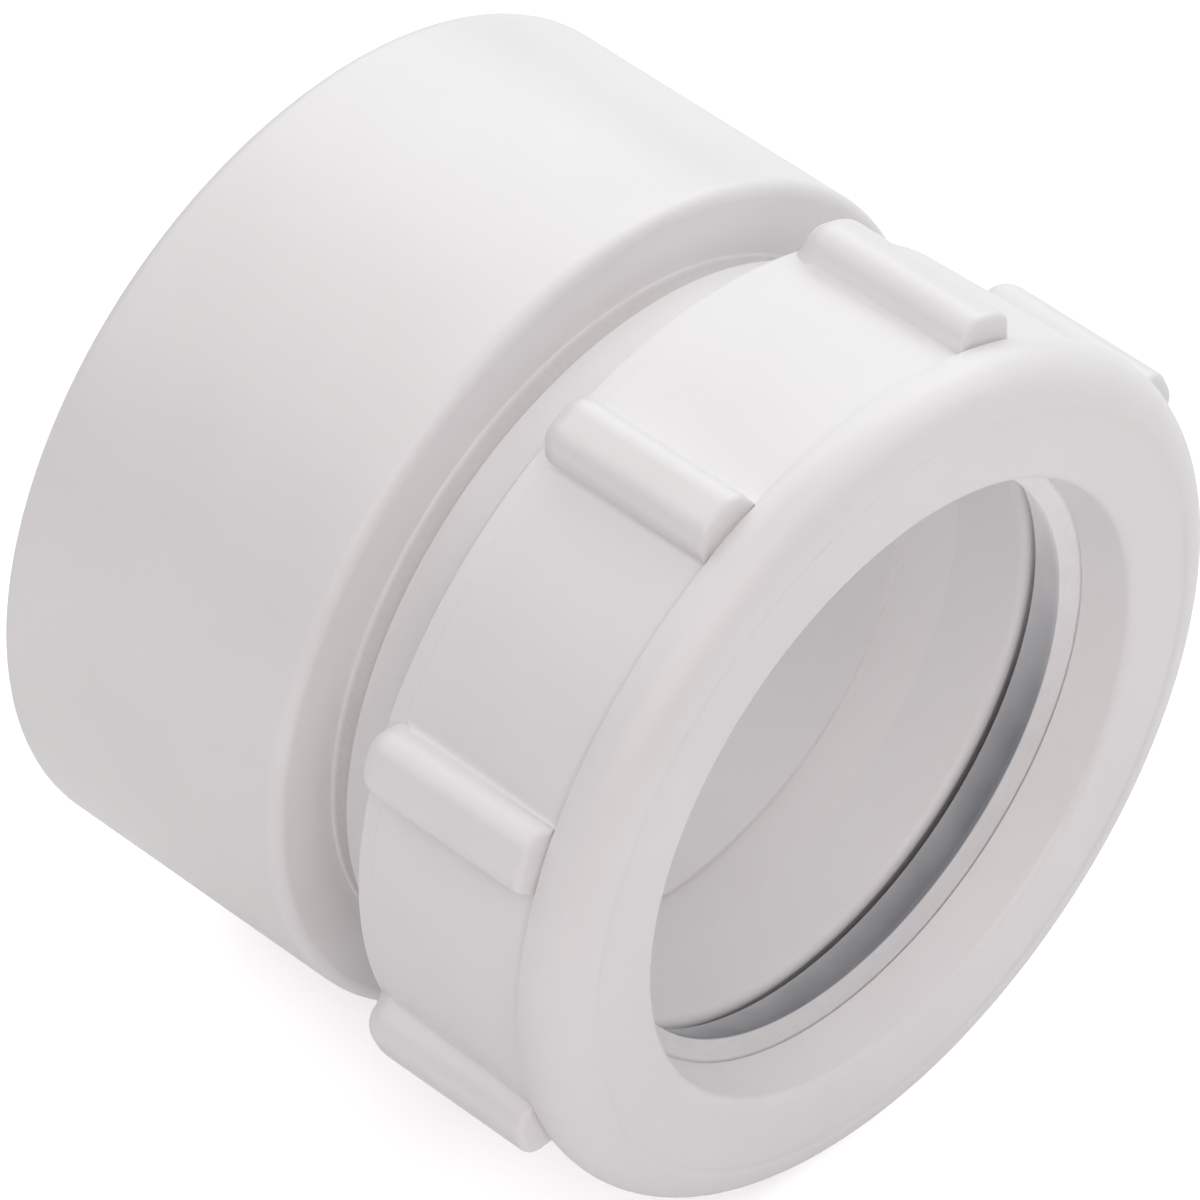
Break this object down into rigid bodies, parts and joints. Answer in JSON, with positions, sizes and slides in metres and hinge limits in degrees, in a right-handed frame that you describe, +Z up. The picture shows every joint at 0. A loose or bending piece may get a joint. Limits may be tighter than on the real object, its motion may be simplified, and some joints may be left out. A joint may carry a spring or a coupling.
{
  "type": "slip-joint pipe adapter",
  "caption": "Cylindrical pipe adapter with a solvent-weld hub at one end and a ribbed slip nut over a bevelled washer at the other.",
  "frame": {"origin": "centre of the hub's open end, on the bore axis", "axes": "+X along the bore axis from the hub to the nut's mouth, +Z up with the part lying on its side, between two ribs"},
  "size_m": [0.0466, 0.057, 0.057],
  "materials": {
    "body_pvc": "satin white moulded vinyl",
    "nut_pvc": "satin white moulded vinyl",
    "washer_pe": "smooth translucent grey"
  },
  "bodies": {
    "body": {"adapter_body": "body_pvc"},
    "washer": {"slip_washer": "washer_pe"},
    "nut": {"slip_nut": "nut_pvc"}
  },
  "joints": [
    {"name": "nut_travel", "type": "slide", "parent": "body", "child": "washer", "axis": [1, 0, 0], "range_m": [-0.00056, 0.00664]},
    {"name": "nut_turn", "type": "hinge", "parent": "washer", "child": "nut", "pos_m": [0.0428, 0, 0], "axis": [1, 0, 0], "range_deg": [-90, 1080]}
  ],
  "couplings": [
    {"joint": "nut_travel", "follows": "nut_turn", "m_per_rad": 0.00035153}
  ]
}
